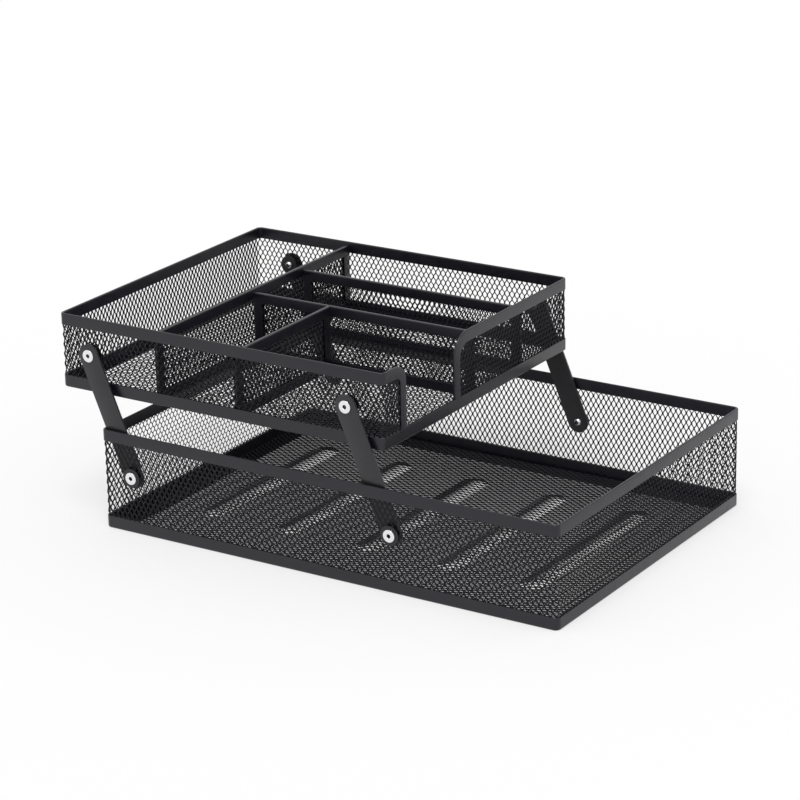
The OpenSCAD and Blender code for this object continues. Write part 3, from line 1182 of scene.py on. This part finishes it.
@dataclass
class UpperTray(Tray):
    """The sectioned tray that swings on the links, with its mouth in the front wall."""

    name: str = "upper"
    sheet: ExpandedSheet = ExpandedSheet().turned_over()
    divider_sheet: ExpandedSheet = ExpandedSheet().turned_over()
    base_sheet: ExpandedSheet = ExpandedSheet(eye_l=5.2 * MM, eye_w=3.0 * MM, knot_l=1.2 * MM,
                                              gauge=0.45 * MM, lean=-0.4 * MM)
    near_r: float = 12.0 * MM
    far_r: float = 17.5 * MM
    mouth_steps: int = 10
    edge_w: float = 7.0 * MM
    frame_w: float = 7.0 * MM
    wall_lap: float = 4.0 * MM

    def __post_init__(self) -> None:
        """Reads the mouth's place too."""
        super().__post_init__()
        self.mouth_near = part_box("upper_wall_front_near")[1].y + self.strip
        self.mouth_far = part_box("upper_wall_front_far")[0].y - self.strip

    def build(self) -> None:
        """Builds every piece of the tray but its rivets and washers."""
        self.foot_strip()
        self.rim_strip()
        self.wall_strip(self.mouth_near - self.wall_lap, self.mouth_far + self.wall_lap,
                        "upper_wall_near", "upper_wall_far", "upper_wall_rear",
                        "upper_wall_front_near", "upper_wall_front_far", "upper_wall_bends")
        self.put_sheet("upper_base_sheet", self.base_sheet.thick(self.base_panel()), "upper_base_mesh")
        for divider in ("cross", "far", "near", "short"):
            self.divider(divider)

    def rim_strip(self) -> None:
        """Leads the top strip round the tray and down both ends of the mouth."""
        hem = Hem(self.band, self.rim_width, self.strip)
        start_y = self.mouth_near - self.near_r
        end_y = self.mouth_far + self.far_r
        front = self.foot_high.x
        run = Run(hem.corners(), Vector((front, start_y, self.top)), -FORWARD, UP)
        share = self.edge_w / self.rim_width
        drop = self.foot_high.z
        self.turn_down(run, Vector((front, start_y, self.top - self.near_r)), -FORWARD, share, drop)
        run.from_start()
        self.outline.led_round(run, start_y, end_y)
        self.turn_down(run, Vector((front, end_y, self.top - self.far_r)), FORWARD, share, drop)
        self.put_strip("upper_rim_strip", run.closed(), "upper_top_rim")

    def turn_down(self, run: Run, centre: Vector, axis: Vector, share: float, drop: float) -> None:
        """Turns a run down at one end of the mouth and leads it into the bottom strip."""
        run.bend(centre, axis, math.pi / 2, self.mouth_steps, share)
        run.straight(Vector((0, 0, drop - centre.z))).capped()

    def divider(self, which: str) -> None:
        """Builds one divider: four folded bands and the sheet between them.

        Args:
            which: the divider's name in the model.
        """
        low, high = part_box(which + "_divider_frame")
        lengthwise = high.x - low.x > high.y - low.y
        along, deep = (FORWARD, ACROSS) if lengthwise else (ACROSS, FORWARD)
        length, height = (high - low).dot(along), high.z - low.z
        hem = Hem((high - low).dot(deep), self.frame_w, self.strip)
        rise = UP * (height - 2 * self.frame_w)
        bands = [
            (low + UP * height, UP, along * length),
            (low.copy(), -UP, along * length),
            (low + UP * self.frame_w, -along, rise),
            (low + along * length + UP * self.frame_w, along, rise),
        ]
        parts = []
        for start, fold, way in bands:
            run = Run(hem.corners(), start, deep, fold).capped()
            parts.append(run.from_start().straight(way).capped().closed())
        self.put_strip(which + "_divider_bands", joined(parts), which + "_divider_frame")
        inset = 2 * (self.frame_w - self.tuck)
        bm = self.divider_sheet.panel(height - inset, length - inset)
        middle = (low + high) / 2
        stood = Matrix((
            (0, along.x, -along.y),
            (0, along.y, along.x),
            (1, 0, 0),
        ))
        for v in bm.verts:
            v.co = stood @ v.co + middle
        self.put_sheet(which + "_divider_sheet", self.divider_sheet.thick(bm), which + "_divider_mesh")


# ---- The linkage ----


@dataclass
class Linkage:
    """The four links, and the rivets, washers and spacers of their eight pivots."""

    finishes: Finishes
    washer_t: float = 0.6 * MM
    tail_gap: float = 0.1 * MM

    def __post_init__(self) -> None:
        """Reads the pivots from the model's joints."""
        joints = {j["name"]: Vector(j["pos_m"]) for j in frame["joints"]}
        rear, front, upper = joints["fold"], joints["fold_front_near"], joints["tray_level"]
        self.rise = Vector((upper.x - rear.x, 0, upper.z - rear.z))
        self.lower_pivots = [Vector((p.x, 0, p.z)) for p in (rear, front)]
        self.upper_pivots = [p + self.rise for p in self.lower_pivots]

    def build(self) -> None:
        """Builds the links and everything on their pivots."""
        self.links()
        self.pins("lower", self.lower_pivots)
        self.pins("upper", self.upper_pivots)

    def links(self) -> None:
        """Cuts the four links, each in its own body."""
        for place, foot in zip(("rear", "front"), self.lower_pivots):
            for side in Side:
                name = f"link_{place}_{side.name.lower()}"
                low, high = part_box(name)
                middle = Vector((0, (low.y + high.y) / 2, 0))
                width = high.x - low.x - abs(self.rise.x)
                bar = LinkBar(foot + middle, foot + middle + self.rise, width, high.y - low.y)
                # The link coat is painted lighter than the rims' coat as painted light on the links.
                dress = Dress(name, "link_coat", self.finishes.bar, (name,))
                dress.put_on(name + "_bar", bar.made())

    def pins(self, tray: str, pivots: list) -> None:
        """Turns the rivets and washers of one tray and dresses its spacers.

        Args:
            tray: lower or upper.
            pivots: its two pivots, at the middle plane.
        """
        body = tray + "_tray"
        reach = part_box(tray + "_rivets")[1].y
        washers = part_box(tray + "_washers")[1].y
        washer = Washer(washers - self.washer_t, washers)
        inner = washer.inner if tray == "upper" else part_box("link_rear_far")[0].y - self.tail_gap
        rivet = Rivet(inner, reach - Rivet.head_t)
        spots = [(pivot, side) for pivot in pivots for side in Side]
        # The rivets' hollows wear the black washer coat as painted shade.
        dress = Dress(body, "rivet_steel", self.finishes.rivet, (tray + "_rivets",),
                      shaded=self.finishes.washer)
        dress.put_on(tray + "_rivet_set", joined([rivet.turned().at(p, s) for p, s in spots]))
        dress = Dress(body, "washer_black", self.finishes.washer, (tray + "_washers",))
        dress.put_on(tray + "_washer_set", joined([washer.turned().at(p, s) for p, s in spots]))
        spacers = frame["nodes"][tray + "_spacers"]
        spacers.data.materials.clear()
        spacers.data.materials.append(self.finishes.washer)


# ---- Studio ----


@dataclass(frozen=True)
class Studio:
    """White paper, a broad soft lamp overhead, and the camera."""

    azimuth: float = 32.998
    elevation: float = 19.543
    roll: float = -1.23
    focal: float = 137.646
    place: tuple = (1.05219, -1.61882, 0.76495)
    sky: float = 0.65
    lamp: float = 0.38
    lamp_angle: float = 28.0
    lamp_from: tuple = (0.12, -0.35, 1.0)
    paper: float = 8.0

    def build(self) -> None:
        """Sets up the floor, the world, the lamp and the camera."""
        self._camera()
        self._world()
        self._lamp()
        self._floor()

    def _camera(self) -> None:
        """Places the camera by its bearing, its height and its roll."""
        azimuth, elevation, roll = (math.radians(a) for a in (self.azimuth, self.elevation, self.roll))
        back = Vector((math.sin(azimuth) * math.cos(elevation), -math.cos(azimuth) * math.cos(elevation),
                       math.sin(elevation)))
        right = Vector((math.cos(azimuth), math.sin(azimuth), 0))
        above = back.cross(right)
        turned_right = right * math.cos(roll) + above * math.sin(roll)
        turned_up = above * math.cos(roll) - right * math.sin(roll)
        data = bpy.data.cameras.new("camera")
        data.lens = self.focal
        data.clip_start = 0.05
        data.clip_end = 50.0
        camera = placed("camera", data)
        turn = Matrix((turned_right, turned_up, back)).transposed()
        camera.matrix_world = Matrix.Translation(self.place) @ turn.to_4x4()
        bpy.context.scene.camera = camera

    def _world(self) -> None:
        """Makes a plain pale sky that shows as white."""
        world = bpy.data.worlds.new("studio")
        world.use_nodes = True
        nodes, links = world.node_tree.nodes, world.node_tree.links
        nodes.clear()
        out = nodes.new("ShaderNodeOutputWorld")
        mix = nodes.new("ShaderNodeMixShader")
        links.new(seen_straight(world.node_tree), mix.inputs[0])
        for slot, strength in ((1, self.sky), (2, 1.0)):
            glow = nodes.new("ShaderNodeBackground")
            glow.inputs["Color"].default_value = (1, 1, 1, 1)
            glow.inputs["Strength"].default_value = strength
            links.new(glow.outputs[0], mix.inputs[slot])
        links.new(mix.outputs[0], out.inputs["Surface"])
        bpy.context.scene.world = world

    def _lamp(self) -> None:
        """Hangs the broad lamp, high and a little to the near side."""
        data = bpy.data.lights.new("lamp", "SUN")
        data.energy = math.pi * self.lamp
        data.angle = math.radians(self.lamp_angle)
        lamp = placed("lamp", data)
        lamp.rotation_euler = Vector(self.lamp_from).to_track_quat("Z", "Y").to_euler()

    def _floor(self) -> None:
        """Lays the paper."""
        bm = bmesh.new()
        bmesh.ops.create_grid(bm, x_segments=4, y_segments=4, size=self.paper)
        mesh = bpy.data.meshes.new("paper")
        bm.to_mesh(mesh)
        bm.free()
        mesh.materials.append(StudioPaper().material())
        placed("paper", mesh)


def main() -> None:
    """Builds the studio, then the organizer from the desk up."""
    logging.basicConfig(level=logging.INFO, format="%(name)s: %(message)s")
    bpy.context.scene.view_settings.view_transform = "Standard"
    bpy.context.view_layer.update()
    Studio().build()
    finishes = Finishes.made()
    LowerTray(finishes=finishes).build()
    UpperTray(finishes=finishes).build()
    Linkage(finishes).build()


if __name__ == "__main__":
    main()
